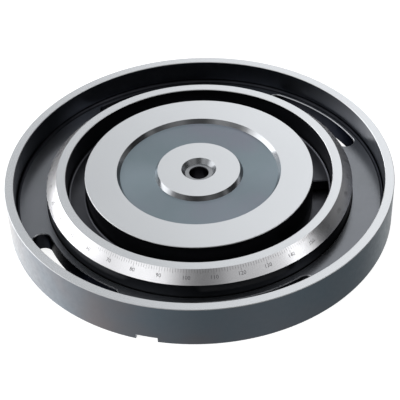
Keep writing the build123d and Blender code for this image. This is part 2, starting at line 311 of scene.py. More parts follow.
def stacks(name: str, columns: Sequence[Sequence[Ring]], finishes: Sequence[bpy.types.Material],
           skin: int = 0, bands: Sequence[int] = ()) -> bpy.types.Object:
    """Closed skins through stacks of rings: each ring joins the next by quads, and the end rings are faces.

    Args:
        name: name of the object.
        columns: for each closed skin, its rings of equal length from the lowest up.
        finishes: materials by finish number.
        skin: finish number of the end faces, and of all faces where there are no bands.
        bands: finish number of each band between two rings.

    Returns:
        One object that holds every skin.
    """
    vertices: list[Array] = []
    faces: list[list[int]] = []
    skins: list[int] = []
    start = 0
    for rings in columns:
        points = np.concatenate(rings)
        count = len(rings[0])
        row = np.arange(len(rings) - 1)[:, None] * count + start
        across = np.arange(count)[None, :]
        beyond = (across + 1) % count
        quads = np.stack([row + across, row + beyond, row + count + beyond, row + count + across], axis=-1)
        faces += quads.reshape(-1, 4).tolist()
        skins += np.repeat(bands or [skin] * (len(rings) - 1), count).tolist()
        faces.append((start + np.arange(count)[::-1]).tolist())
        faces.append((start + len(points) - count + np.arange(count)).tolist())
        skins += [skin, skin]
        vertices.append(points)
        start += len(points)
    return new_object(name, np.concatenate(vertices), faces, np.array(skins), finishes)


def carved(piece: bpy.types.Object, cutter: bpy.types.Object) -> None:
    """Takes one object out of another for good, and shades the result.

    Args:
        piece: the piece that stays.
        cutter: the object that is taken out of it and deleted.
    """
    cut = piece.modifiers.new("cut", "BOOLEAN")
    cut.operation = "DIFFERENCE"
    cut.solver = "EXACT"
    cut.object = cutter
    depsgraph = bpy.context.evaluated_depsgraph_get()
    result = bpy.data.meshes.new_from_object(piece.evaluated_get(depsgraph))
    piece.modifiers.clear()
    piece.data = result
    bpy.data.objects.remove(cutter)
    crisp(result)


# ---------------------------------------------------------------- finishes
class NodeGraph:
    """A node tree with short calls for adding, filling and joining nodes."""

    def __init__(self, tree: bpy.types.NodeTree) -> None:
        """Empties the tree.

        Args:
            tree: the tree.
        """
        self.tree = tree
        tree.nodes.clear()

    @staticmethod
    def fill(node: bpy.types.Node, values: dict[str, object]) -> None:
        """Sets a node's inputs by name."""
        for key, value in values.items():
            node.inputs[key].default_value = value

    def add(self, kind: str, values: Optional[dict[str, object]] = None,
            **settings: object) -> bpy.types.Node:
        """Adds a node.

        Args:
            kind: the node's type.
            values: values of its inputs, by name.
            settings: its own properties.

        Returns:
            The node.
        """
        node = self.tree.nodes.new(kind)
        for key, value in settings.items():
            setattr(node, key, value)
        self.fill(node, values or {})
        return node

    def join(self, source: bpy.types.NodeSocket, target: bpy.types.NodeSocket) -> None:
        """Joins an output to an input."""
        self.tree.links.new(source, target)

    def ramp(self, value: bpy.types.NodeSocket, stops: Sequence[tuple[float, Colour]],
             interpolation: str = "LINEAR") -> bpy.types.NodeSocket:
        """Colour ramp over a value.

        Args:
            value: the value, from 0 to 1.
            stops: (position, colour) pairs in order.
            interpolation: how the colours pass into each other.

        Returns:
            The colour.
        """
        node = self.add("ShaderNodeValToRGB")
        node.color_ramp.interpolation = interpolation
        elements = node.color_ramp.elements
        while len(elements) < len(stops):
            elements.new(0.5)
        for element, (position, colour) in zip(elements, stops):
            element.position = position
            element.color = (*colour, 1.0)
        self.join(value, node.inputs[0])
        return node.outputs[0]


class NodeSheet(NodeGraph):
    """The nodes of a material with one shader, on object coordinates."""

    def __init__(self, name: str) -> None:
        """Starts an empty material of that name.

        Args:
            name: name of the material.
        """
        self.material = bpy.data.materials.new(name)
        self.material.use_nodes = True
        super().__init__(self.material.node_tree)
        self.shader = self.add("ShaderNodeBsdfPrincipled")
        output = self.add("ShaderNodeOutputMaterial")
        self.join(self.shader.outputs[0], output.inputs["Surface"])
        self.place = self.add("ShaderNodeTexCoord").outputs["Object"]

    def noise(self, scale: float, detail: float = 3.0) -> bpy.types.NodeSocket:
        """Soft noise from 0 to 1.

        Args:
            scale: spots per metre.
            detail: number of finer layers.

        Returns:
            The noise.
        """
        node = self.add("ShaderNodeTexNoise", {"Scale": scale, "Detail": detail, "Roughness": 0.55})
        self.join(self.place, node.inputs["Vector"])
        return node.outputs["Fac"]

    def rings(self, pitch: float) -> bpy.types.NodeSocket:
        """Noise over the distance from the spin axis, with some rings per metre.

        Args:
            pitch: rings per metre.

        Returns:
            The noise.
        """
        flat = self.add("ShaderNodeVectorMath", operation="MULTIPLY")
        flat.inputs[1].default_value = (1.0, 1.0, 0.0)
        self.join(self.place, flat.inputs[0])
        radius = self.add("ShaderNodeVectorMath", operation="LENGTH")
        self.join(flat.outputs[0], radius.inputs[0])
        node = self.add("ShaderNodeTexNoise", {"Scale": pitch, "Detail": 2.0}, noise_dimensions="1D")
        self.join(radius.outputs["Value"], node.inputs["W"])
        return node.outputs["Fac"]

    def spread(self, value: bpy.types.NodeSocket, low: float, high: float) -> bpy.types.NodeSocket:
        """Maps 0.3 to 0.7 of a value onto a range.

        Args:
            value: the value.
            low: start of the range.
            high: end of the range.

        Returns:
            The mapped value.
        """
        ends = {"From Min": 0.3, "From Max": 0.7, "To Min": low, "To Max": high}
        node = self.add("ShaderNodeMapRange", ends)
        self.join(value, node.inputs["Value"])
        return node.outputs["Result"]

    def bump(self, height: bpy.types.NodeSocket, depth: float) -> None:
        """Bumps the shader by a height of some depth in metres.

        Args:
            height: the height, from 0 to 1.
            depth: what 1 stands for, in metres.
        """
        node = self.add("ShaderNodeBump", {"Distance": depth, "Strength": 1.0})
        self.join(height, node.inputs["Height"])
        self.join(node.outputs[0], self.shader.inputs["Normal"])


def spaced(tones: Sequence[Colour], low: float, high: float) -> list[tuple[float, Colour]]:
    """Stops of a ramp at even steps from low to high."""
    return list(zip(np.linspace(low, high, len(tones)).tolist(), tones))


@dataclass(frozen=True)
class SteelFinish:
    """Bare or blued steel.

    Attributes:
        name: name of the material.
        tones: colours that large soft patches wander through.
        patch_scale: patches per metre.
        roughness: lowest and highest roughness.
        lay: strength of the highlight's stretch across the turning marks, 0 for none.
        ring_pitch: turning rings per metre of radius, 0 for none.
        ring_depth: depth of the turning rings in metres.
        edge: how much of a metal's glancing reflection stays.
        grain_scale: fine marks per metre where there are no rings.
    """

    name: str
    tones: tuple[Colour, ...]
    patch_scale: float
    roughness: tuple[float, float]
    lay: float = 0.0
    ring_pitch: float = 0.0
    ring_depth: float = 0.000004
    edge: float = 1.0
    grain_scale: float = 260.0

    def material(self) -> bpy.types.Material:
        """Builds the node material.

        Returns:
            The material.
        """
        sheet = NodeSheet(self.name)
        shader = sheet.shader
        sheet.fill(shader, {"Metallic": 1.0, "Specular Tint": (self.edge, self.edge, self.edge, 1.0)})
        patches = sheet.noise(self.patch_scale)
        sheet.join(sheet.ramp(patches, spaced(self.tones, 0.32, 0.68)), shader.inputs["Base Color"])
        marks = sheet.rings(self.ring_pitch) if self.ring_pitch else sheet.noise(self.grain_scale, 2.0)
        sheet.join(sheet.spread(marks, *self.roughness), shader.inputs["Roughness"])
        if self.ring_pitch:
            sheet.bump(marks, self.ring_depth)
        if self.lay:
            sheet.fill(shader, {"Anisotropic": self.lay, "Anisotropic Rotation": 0.25})
            tangent = sheet.add("ShaderNodeTangent", direction_type="UV_MAP", uv_map="lay")
            sheet.join(tangent.outputs[0], shader.inputs["Tangent"])
        return sheet.material


@dataclass(frozen=True)
class DullFinish:
    """Paint, plastic or felt: a non-metal with a mottled colour and a soft bump.

    Attributes:
        name: name of the material.
        tones: colours of the mottle.
        roughness: lowest and highest roughness.
        grain_scale: mottles per metre.
        grain_depth: depth of the bump in metres.
    """

    name: str
    tones: tuple[Colour, ...]
    roughness: tuple[float, float]
    grain_scale: float
    grain_depth: float

    def material(self) -> bpy.types.Material:
        """Builds the node material.

        Returns:
            The material.
        """
        sheet = NodeSheet(self.name)
        grain = sheet.noise(self.grain_scale)
        sheet.join(sheet.ramp(grain, spaced(self.tones, 0.35, 0.65)), sheet.shader.inputs["Base Color"])
        sheet.join(sheet.spread(grain, *self.roughness), sheet.shader.inputs["Roughness"])
        sheet.bump(grain, self.grain_depth)
        return sheet.material


class Finish(Enum):
    """Every finish on the stage."""

    GROUND = SteelFinish("ground_steel", ((0.595, 0.615, 0.64), (0.62, 0.64, 0.665)), 9.0, (0.26, 0.27))
    GROUND_EDGE = SteelFinish("ground_edge", ((0.40, 0.41, 0.425), (0.44, 0.45, 0.46)), 9.0, (0.40, 0.46))
    UNDERSIDE = SteelFinish("ground_underside", ((0.42, 0.43, 0.45), (0.48, 0.49, 0.51)), 14.0, (0.38, 0.48),
                            ring_pitch=900.0)
    SLOT_EDGE = SteelFinish("slot_edge", ((0.24, 0.245, 0.26), (0.30, 0.305, 0.32)), 60.0, (0.28, 0.34),
                            edge=0.6)
    # Near black, far darker than the base's other blued walls: painted shade on the slots' walls and in the
    # fillet at the rim's root.
    SLOT_PAINTED_SHADE = SteelFinish("slot_wall", ((0.012, 0.013, 0.016), (0.020, 0.021, 0.025)), 40.0, (0.30, 0.38),
                            edge=0.3)
    BLUED_WALL = SteelFinish("blued_outer_wall",
                             ((0.122, 0.115, 0.122), (0.104, 0.122, 0.142), (0.090, 0.120, 0.144)),
                             10.0, (0.34, 0.42), edge=0.9)
    BLUED = SteelFinish("blued_steel", ((0.18, 0.225, 0.25), (0.195, 0.235, 0.265), (0.207, 0.227, 0.266)),
                        16.0, (0.30, 0.35), lay=0.7, edge=0.6)
    BLUED_CHANNEL = SteelFinish("blued_channel", ((0.17, 0.18, 0.195), (0.19, 0.20, 0.22)), 16.0,
                                (0.23, 0.26), lay=0.3, edge=0.6)
    BLUED_SIDE = SteelFinish("blued_side", ((0.050, 0.055, 0.068), (0.062, 0.067, 0.080)), 30.0, (0.28, 0.36),
                             edge=0.9)
    DIAL_SIDE = SteelFinish("dial_side", ((0.055, 0.057, 0.062), (0.065, 0.067, 0.073)), 30.0, (0.29, 0.30),
                            edge=0.4)
    WELL_SIDE = SteelFinish("well_side", ((0.070, 0.072, 0.083), (0.085, 0.087, 0.098)), 30.0, (0.30, 0.31),
                            edge=0.7)
    # About a third as bright as the other blued floors: painted shade on the floor of the narrow inner
    # channel and on the base's floor under the web.
    WELL_FLOOR_PAINTED_SHADE = SteelFinish("well_floor", ((0.058, 0.060, 0.068), (0.072, 0.074, 0.082)), 40.0, (0.28, 0.36),
                             edge=0.4)
    TURNED_BEVEL = SteelFinish("turned_bevel", ((0.70, 0.70, 0.72), (0.76, 0.76, 0.78)), 25.0, (0.25, 0.27),
                               lay=0.85)
    TURNED_SLOPE = SteelFinish("turned_slope", ((0.31, 0.32, 0.335), (0.35, 0.36, 0.375)), 25.0, (0.12, 0.15))
    BORED = SteelFinish("bored_steel", ((0.25, 0.26, 0.275), (0.30, 0.31, 0.325)), 60.0, (0.22, 0.28),
                        edge=0.6)
    # Near black, unlike the bush's bored outside: painted shade down the bush's bore and on its chamfer.
    BORE_PAINTED_SHADE = SteelFinish("bore_dark", ((0.02, 0.02, 0.024), (0.03, 0.03, 0.035)), 60.0, (0.35, 0.45),
                            edge=0.3)
    RACE = SteelFinish("race_steel", ((0.55, 0.56, 0.58), (0.60, 0.61, 0.63)), 30.0, (0.22, 0.30))
    ROLLER = SteelFinish("roller_steel", ((0.70, 0.71, 0.73), (0.75, 0.76, 0.78)), 60.0, (0.12, 0.18))
    CLAMP = SteelFinish("clamp_steel", ((0.20, 0.21, 0.23), (0.25, 0.26, 0.28)), 30.0, (0.34, 0.44),
                        ring_pitch=1500.0)
    SCREW = SteelFinish("black_screw", ((0.035, 0.035, 0.04), (0.05, 0.05, 0.055)), 90.0, (0.34, 0.44))
    DOWEL = SteelFinish("dowel_steel", ((0.60, 0.61, 0.62), (0.66, 0.67, 0.68)), 90.0, (0.22, 0.30))
    ENGRAVING = DullFinish("engraving_paint", ((0.06, 0.06, 0.065), (0.09, 0.09, 0.095)), (0.5, 0.6),
                           900.0, 0.000004)
    SPACER = DullFinish("spacer_plastic", ((0.66, 0.60, 0.45), (0.72, 0.66, 0.50)), (0.45, 0.55),
                        400.0, 0.000008)
    FELT = DullFinish("felt", ((0.10, 0.095, 0.09), (0.16, 0.15, 0.14)), (0.85, 0.95), 1500.0, 0.00008)


class Finishes:
    """Builds each material once, when it is first asked for."""

    def __init__(self) -> None:
        """Starts with nothing built."""
        self.built: dict[Finish, bpy.types.Material] = {}

    def __call__(self, *wanted: Finish) -> list[bpy.types.Material]:
        """The materials of some finishes, in order.

        Args:
            wanted: the finishes.

        Returns:
            The materials, in the same order.
        """
        for finish in wanted:
            if finish not in self.built:
                self.built[finish] = finish.value.material()
        return [self.built[finish] for finish in wanted]


# ---------------------------------------------------------------- putting pieces on the frame
def mount(piece: bpy.types.Object, body: str, node: str, stands_for: bool = True) -> None:
    """Makes a piece ride on its body and stand for its CAD node, which is hidden.

    Args:
        piece: the finished piece.
        body: body that it moves with.
        node: CAD node that it belongs to.
        stands_for: False where it only goes with another piece of that node.
    """
    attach(piece, body)
    if stands_for:
        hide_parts(node)
    LOG.info("%s: %d faces on %s", piece.name, len(piece.data.polygons), body)


def dress(node: str, material: bpy.types.Material) -> None:
    """Gives a CAD node that is shown its finish.

    Args:
        node: the node.
        material: its finish.
    """
    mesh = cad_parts[node].data
    mesh.materials.clear()
    mesh.materials.append(material)
    LOG.info("%s: kept, dressed in %s", node, material.name)


def around(circle_radius: float, count: int, first: float = 0.0) -> list[tuple[float, float]]:
    """Centres spaced evenly on a circle: (R cos t, R sin t).

    Args:
        circle_radius: radius of the circle.
        count: number of centres.
        first: angle of the first, in degrees.

    Returns:
        The centres.
    """
    t = np.radians(first + 360.0 * np.arange(count) / count)
    return list(zip((circle_radius * np.cos(t)).tolist(), (circle_radius * np.sin(t)).tolist()))


# ---------------------------------------------------------------- holes and fasteners
@dataclass(frozen=True)
class Holes:
    """Equal round holes, or pins, on a circle round the axis. Millimetres.

    Attributes:
        circle_radius: circle that they stand on.
        count: number of them.
        steps: (radius, height) corners of one from the lowest up.
        first: angle of the first, in degrees.
    """

    circle_radius: float
    count: int
    steps: Steps
    first: float = 0.0

    def columns(self) -> list[list[Ring]]:
        """Rings of each one."""
        centres = around(self.circle_radius, self.count, self.first)
        return [[circle(radius, height, centre) for radius, height in self.steps] for centre in centres]


def straight(circle_radius: float, count: int, radius: float, low: float, high: float) -> Holes:
    """Plain holes of one radius from low to high."""
    return Holes(circle_radius, count, ((radius, low), (radius, high)))


def dowelled(circle_radius: float, low: float, high: float) -> Holes:
    """Two dowel holes between the screws."""
    return Holes(circle_radius, 2, ((DOWEL_HOLE, low), (DOWEL_HOLE, high)), DOWEL_START)


def counterbored(circle_radius: float, low: float, ledge: float, high: float) -> Holes:
    """Four M4 holes with room for a cap head below the ledge."""
    steps = ((M4_HEAD_HOLE, low), (M4_HEAD_HOLE, ledge), (M4_HOLE, ledge), (M4_HOLE, high))
    return Holes(circle_radius, 4, steps)


def drill(piece: bpy.types.Object, skin: int, *patterns: Holes) -> None:
    """Takes round holes out of a piece.

    Args:
        piece: the piece that is drilled.
        skin: finish number of the holes.
        patterns: the holes.
    """
    columns = [column for pattern in patterns for column in pattern.columns()]
    carved(piece, stacks("drill", columns, [], skin))


def cap_head(shank: float) -> Steps:
    """M4 cap screw by (radius, height above the head's face), with a shank of some length.

    Args:
        shank: length of the shank.

    Returns:
        Its corners, from the head's face to the end of the shank.
    """
    head, height, radius, chamfer = 3.5, 4.0, 2.0, 0.3
    end = height + shank
    return ((head - chamfer, 0.0), (head, chamfer), (head, height), (radius, height), (radius, end),
            (radius - chamfer, end + chamfer))


def flat_head(head: float, rim: float, radius: float, length: float) -> Steps:
    """Countersunk screw by (radius, depth below its face).

    Args:
        head: radius of the head.
        rim: height of the head's rim, broken at 45 degrees.
        radius: radius of the shank.
        length: whole length.

    Returns:
        Its corners, from the face to the end of the shank.
    """
    chamfer = 0.3
    return ((head - rim, 0.0), (head, rim), (radius, head - radius), (radius, length - chamfer),
            (radius - chamfer, length))


@dataclass
class HexScrews:
    """Socket screws on a circle round the axis. Millimetres.

    Attributes:
        node: CAD node that they stand for.
        body: body that they move with.
        circle_radius: circle that they stand on.
        count: number of screws.
        face: height of the head's face.
        steps: (radius, distance from the face) from the face's rim to the end of the shank.
        socket: hexagon across flats and its depth.
        flipped: True where the head is up and the shank runs down.
    """

    node: str
    body: str
    circle_radius: float
    count: int
    face: float
    steps: Steps
    socket: tuple[float, float]
    flipped: bool = False

    def column(self, centre: tuple[float, float]) -> list[Ring]:
        """Rings of one screw, from the socket's floor round the head to the end of the shank.

        Args:
            centre: the screw's place on its circle.

        Returns:
            The rings.
        """
        flats, depth = self.socket
        rings = [hexagon(flats, depth), hexagon(flats, 0.0)]
        rings += [circle(radius, height) for radius, height in self.steps]
        turn = np.array([1.0, -1.0, -1.0]) if self.flipped else np.ones(3)
        return [ring * turn + (centre[0], centre[1], self.face) for ring in rings]

    def build(self, finishes: Finishes) -> None:
        """Builds and mounts the screws.

        Args:
            finishes: the stage's materials.
        """
        columns = [self.column(centre) for centre in around(self.circle_radius, self.count)]
        piece = stacks(self.node + "_finished", columns, finishes(Finish.SCREW))
        crisp(piece.data)
        mount(piece, self.body, self.node)


@dataclass
class Dowels:
    """Ground dowels with chamfered ends, two on a circle. Millimetres."""

    node: str
    circle_radius: float
    low: float
    high: float
    radius: float = 2.0
    chamfer: float = 0.4

    def build(self, finishes: Finishes) -> None:
        """Builds and mounts the dowels.

        Args:
            finishes: the stage's materials.
        """
        small = self.radius - self.chamfer
        steps = ((small, self.low), (self.radius, self.low + self.chamfer),
                 (self.radius, self.high - self.chamfer), (small, self.high))
        columns = Holes(self.circle_radius, 2, steps, DOWEL_START).columns()
        piece = stacks(self.node + "_finished", columns, finishes(Finish.DOWEL))
        crisp(piece.data)
        mount(piece, "rotor", self.node)


# ---------------------------------------------------------------- base
@dataclass
class BaseHousing:
    """Round base: rim, channel with arc clamp slots, thin floor and a wall round the bearing. Millimetres."""

    radius: float = 150.0
    height: float = 35.0
    rim_inner: float = 143.0
    channel_floor: float = 15.0
    bore: float = 118.9
    floor: float = 4.5
    eye: float = 66.0
    housing: tuple[float, float] = (75.02, 82.42)
    housing_top: float = 19.0
    thread_depth: float = 7.1
    fillet: float = 2.5
    edge: float = 0.4
    slot_circle: float = 130.95
    slot_half_width: float = 7.0
    slot_half_span: float = 17.6
    bright_slots: tuple[float, ...] = (57.0, 237.0, 303.0)
    # The slot at 123 degrees has the near-black slot wall finish on its chamfer as well: painted shade where
    # the others catch light.
    painted_shade_slots: tuple[float, ...] = (123.0,)
    slot_chamfer: float = 0.6
    keyway: tuple[float, float, float] = (16.0, 24.0, 4.4)

    def outline(self) -> Outline:
        """Half section of the turned base, from the eye outward and back over the top.

        Returns:
            The closed outline.
        """
        e, f = self.edge, self.fillet
        wall, edge, channel, under, bored, _, ground, side, low, foot = range(10)
        line = Outline().at(self.eye, 0.0)
        line.to(self.radius - e, 0.0, under).to(self.radius, e, wall).to(self.radius, self.height - e, wall)
        line.to(self.radius - e, self.height, edge).to(self.rim_inner + e, self.height, ground)
        line.to(self.rim_inner, self.height - e, edge).to(self.rim_inner, self.channel_floor + f, side)
        root = (self.rim_inner - f, self.channel_floor + f)
        # The fillet at the rim's root takes the near-black slot wall finish: painted shade in the corner.
        line.round_to(self.rim_inner - f, self.channel_floor, root, foot)
        line.to(self.bore + e, self.channel_floor, channel).to(self.bore, self.channel_floor - e, edge)
        # The base's floor under the web takes the dark well floor finish: painted shade.
        line.to(self.bore, self.floor, side).to(self.housing[1], self.floor, low)
        line.to(self.housing[1], self.housing_top, bored).to(self.housing[0], self.housing_top, bored)
        line.to(self.housing[0], self.floor, bored).to(self.eye, self.floor, bored)
        return line.closed(bored)

    def slot_cutter(self, middles: Sequence[float], edge: int, wall: int = 9) -> bpy.types.Object:
        """Arc slots: straight walls up to the chamfer, then flared at 45 degrees past the channel floor.

        Args:
            middles: angles of the slots' middles, in degrees.
            edge: finish number of their chamfers.
            wall: finish number of their walls, near black as painted shade.

        Returns:
            The cutter.
        """
        w, c, top = self.slot_half_width, self.slot_chamfer, self.channel_floor
        levels = ((w, -1.0), (w, top - c), (w + c + 1.0, top + 1.0))
        columns = [[arc_slot(m, self.slot_half_span, self.slot_circle, half, z) for half, z in levels]
                   for m in middles]
        return stacks("slot_cutter", columns, [], wall, (wall, edge))

    def keyway_cutter(self, skin: int = 3) -> bpy.types.Object:
        """Two boxes from below, open to the outside wall, at -Y and +Y.

        Args:
            skin: finish number of the keyways.

        Returns:
            The cutter.
        """
        width, length, depth = self.keyway
        columns = []
        for side in (-1.0, 1.0):
            near, far = sorted((side * (self.radius - length), side * (self.radius + 2.0)))
            flat = np.array([(-width / 2, near), (width / 2, near), (width / 2, far), (-width / 2, far)])
            columns.append([np.column_stack([flat, np.full(4, z)]) for z in (-1.0, depth)])
        return stacks("keyway_cutter", columns, [], skin)

    def build(self, finishes: Finishes) -> None:
        """Builds and mounts the base.

        Args:
            finishes: the stage's materials.
        """
        skins = finishes(Finish.BLUED_WALL, Finish.GROUND_EDGE, Finish.BLUED_CHANNEL, Finish.UNDERSIDE,
                         Finish.BORED, Finish.SLOT_EDGE, Finish.GROUND, Finish.BLUED_SIDE, Finish.WELL_FLOOR_PAINTED_SHADE,
                         Finish.SLOT_PAINTED_SHADE)
        piece = turned("base_housing_finished", self.outline(), skins)
        bored, slot_edge, slot_wall = 4, 5, 9
        carved(piece, self.slot_cutter(self.bright_slots, slot_edge))
        # Painted shade: this slot's chamfer gets the near-black wall finish.
        carved(piece, self.slot_cutter(self.painted_shade_slots, slot_wall))
        carved(piece, self.keyway_cutter())
        low, high = self.housing_top - self.thread_depth, self.housing_top + 1.0
        drill(piece, bored, straight(OUTER_CLAMP_CIRCLE, 6, M3_HOLE, low, high))
        mount(piece, "base", "base_housing")


# ---------------------------------------------------------------- bearing
def washer(inner: float, outer: float, low: float, high: float) -> Outline:
    """Outline of a plain ring."""
    return Outline().at(inner, low).to(outer, low).to(outer, high).to(inner, high).closed()


@dataclass
class CrossedRollerBearing:
    """Inner ring, split outer ring, crossed rollers and the spacers between them. Millimetres."""

    pitch: float = 65.0
    middle: float = 12.0
    low: float = 4.5
    high: float = 19.5
    inner: float = 55.0
    outer: float = 75.0
    parting: float = 0.5
    reach: float = 8.05 / math.sqrt(2)
    roller_radius: float = 4.0
    roller_length: float = 7.6
    roller_chamfer: float = 0.35
    roller_sides: int = 40
    roller_lean: float = 45.0
    count: int = 30

    def ring_pieces(self, finishes: Finishes) -> None:
        """Turns the three rings, their races at 45 degrees to the axis.

        Args:
            finishes: the stage's materials.
        """
        notch = self.reach - self.parting
        a, b, m = self.pitch - self.parting, self.pitch + self.parting, self.middle
        inner = Outline().at(self.inner, self.low).to(a, self.low).to(a, m - notch)
        inner.to(self.pitch - self.reach, m).to(a, m + notch)
        inner.to(a, self.high).to(self.inner, self.high).closed()
        lower = Outline().at(b, self.low).to(self.outer, self.low).to(self.outer, m)
        lower.to(self.pitch + self.reach, m).to(b, m - notch).closed()
        upper = Outline().at(self.pitch + self.reach, m).to(self.outer, m).to(self.outer, self.high)
        upper.to(b, self.high).to(b, m + notch).closed()
        for name, line, body in (("bearing_inner_ring", inner, "rotor"),
                                 ("bearing_outer_lower", lower, "base"),
                                 ("bearing_outer_upper", upper, "base")):
            piece = turned(name + "_finished", line, finishes(Finish.RACE), COARSE)
            mount(piece, body, name)

    def rollers(self, finishes: Finishes) -> None:
        """Chamfered drums, leaned 45 degrees one way and the other in turn round the pitch circle.

        Args:
            finishes: the stage's materials.
        """
        half, r, c = self.roller_length / 2, self.roller_radius, self.roller_chamfer
        steps = ((r - c, -half), (r, c - half), (r, half - c), (r - c, half))
        columns = []
        for index in range(self.count):
            lean = math.radians(self.roller_lean if index % 2 else -self.roller_lean)
            turn = math.radians(360 * index / self.count)
            tilt = np.array(Matrix.Rotation(turn, 3, "Z") @ Matrix.Rotation(lean, 3, "Y"))
            place = (self.pitch * math.cos(turn), self.pitch * math.sin(turn), self.middle)
            columns.append([circle(radius, height, sides=self.roller_sides) @ tilt.T + place
                            for radius, height in steps])
        piece = stacks("bearing_rollers_finished", columns, finishes(Finish.ROLLER))
        crisp(piece.data)
        mount(piece, "roller_train", "bearing_rollers")

    def build(self, finishes: Finishes) -> None:
        """Builds and mounts the bearing.

        Args:
            finishes: the stage's materials.
        """
        self.ring_pieces(finishes)
        self.rollers(finishes)
        dress("roller_spacers", finishes(Finish.SPACER)[0])


@dataclass
class BearingClamps:
    """Outer clamp ring with its felt and shim, inner clamp ring, and the screws of both. Millimetres."""

    bearing_top: float = 19.5
    outer: tuple[float, float, float] = (65.5, 67.02, 82.42)
    outer_top: float = 23.0
    outer_sink: Steps = ((M3_HOLE, 19.0), (M3_HOLE, 21.5), (3.1, 23.0), (3.6, 23.5))
    lip_top: float = 20.3
    felt: tuple[float, float] = (62.8, 67.0)
    shim_inner: float = 75.02
    shim_bottom: float = 19.0
    inner: tuple[float, float] = (43.98, 61.0)
    inner_bottom: float = 1.0
    inner_top: float = 4.5
    inner_chamfer: float = 0.3
    inner_sink: Steps = ((4.6, 0.5), (4.1, 1.0), (M4_HOLE, 3.0), (M4_HOLE, 5.0))

    def outer_pieces(self, finishes: Finishes) -> None:
        """Outer clamp ring with a lip under the felt, the felt, and the shim below.

        Args:
            finishes: the stage's materials.
        """
        lip, seat, outside = self.outer
        line = Outline().at(lip, self.bearing_top).to(outside, self.bearing_top).to(outside, self.outer_top)
        line.to(seat, self.outer_top).to(seat, self.lip_top).to(lip, self.lip_top).closed()
        ring = turned("outer_clamp_ring_finished", line, finishes(Finish.CLAMP), COARSE)
        drill(ring, 0, Holes(OUTER_CLAMP_CIRCLE, 6, self.outer_sink))
        mount(ring, "base", "outer_clamp_ring")
        felt = turned("felt_seal_finished", washer(*self.felt, self.lip_top, self.outer_top),
                      finishes(Finish.FELT), COARSE)
        mount(felt, "base", "felt_seal")
        shim = turned("preload_shim_finished",
                      washer(self.shim_inner, outside, self.shim_bottom, self.bearing_top),
                      finishes(Finish.RACE), COARSE)
        drill(shim, 0, straight(OUTER_CLAMP_CIRCLE, 6, M3_HOLE, self.shim_bottom - OVERRUN,
                                self.bearing_top + OVERRUN))
        mount(shim, "base", "preload_shim")

    def inner_ring(self, finishes: Finishes) -> None:
        """Inner clamp ring, chamfered below.

        Args:
            finishes: the stage's materials.
        """
        (inside, outside), low, c = self.inner, self.inner_bottom, self.inner_chamfer
        line = Outline().at(inside, low + c).to(inside + c, low).to(outside - c, low).to(outside, low + c)
        line.to(outside, self.inner_top).to(inside, self.inner_top).closed()
        ring = turned("inner_clamp_ring_finished", line, finishes(Finish.CLAMP))
        drill(ring, 0, Holes(INNER_CLAMP_CIRCLE, 6, self.inner_sink))
        mount(ring, "rotor", "inner_clamp_ring")

    def build(self, finishes: Finishes) -> None:
        """Builds and mounts the rings and screws that hold the bearing.

        Args:
            finishes: the stage's materials.
        """
        self.outer_pieces(finishes)
        self.inner_ring(finishes)
        long_m3 = flat_head(head=3.0, rim=0.05, radius=1.5, length=11.0)
        short_m4 = flat_head(head=4.0, rim=0.1, radius=2.0, length=10.5)
        HexScrews("outer_clamp_screws", "base", OUTER_CLAMP_CIRCLE, 6, self.outer_top, long_m3,
                  socket=(2.0, 1.0), flipped=True).build(finishes)
        HexScrews("inner_clamp_screws", "rotor", INNER_CLAMP_CIRCLE, 6, self.inner_bottom, short_m4,
                  socket=(2.5, 1.4)).build(finishes)


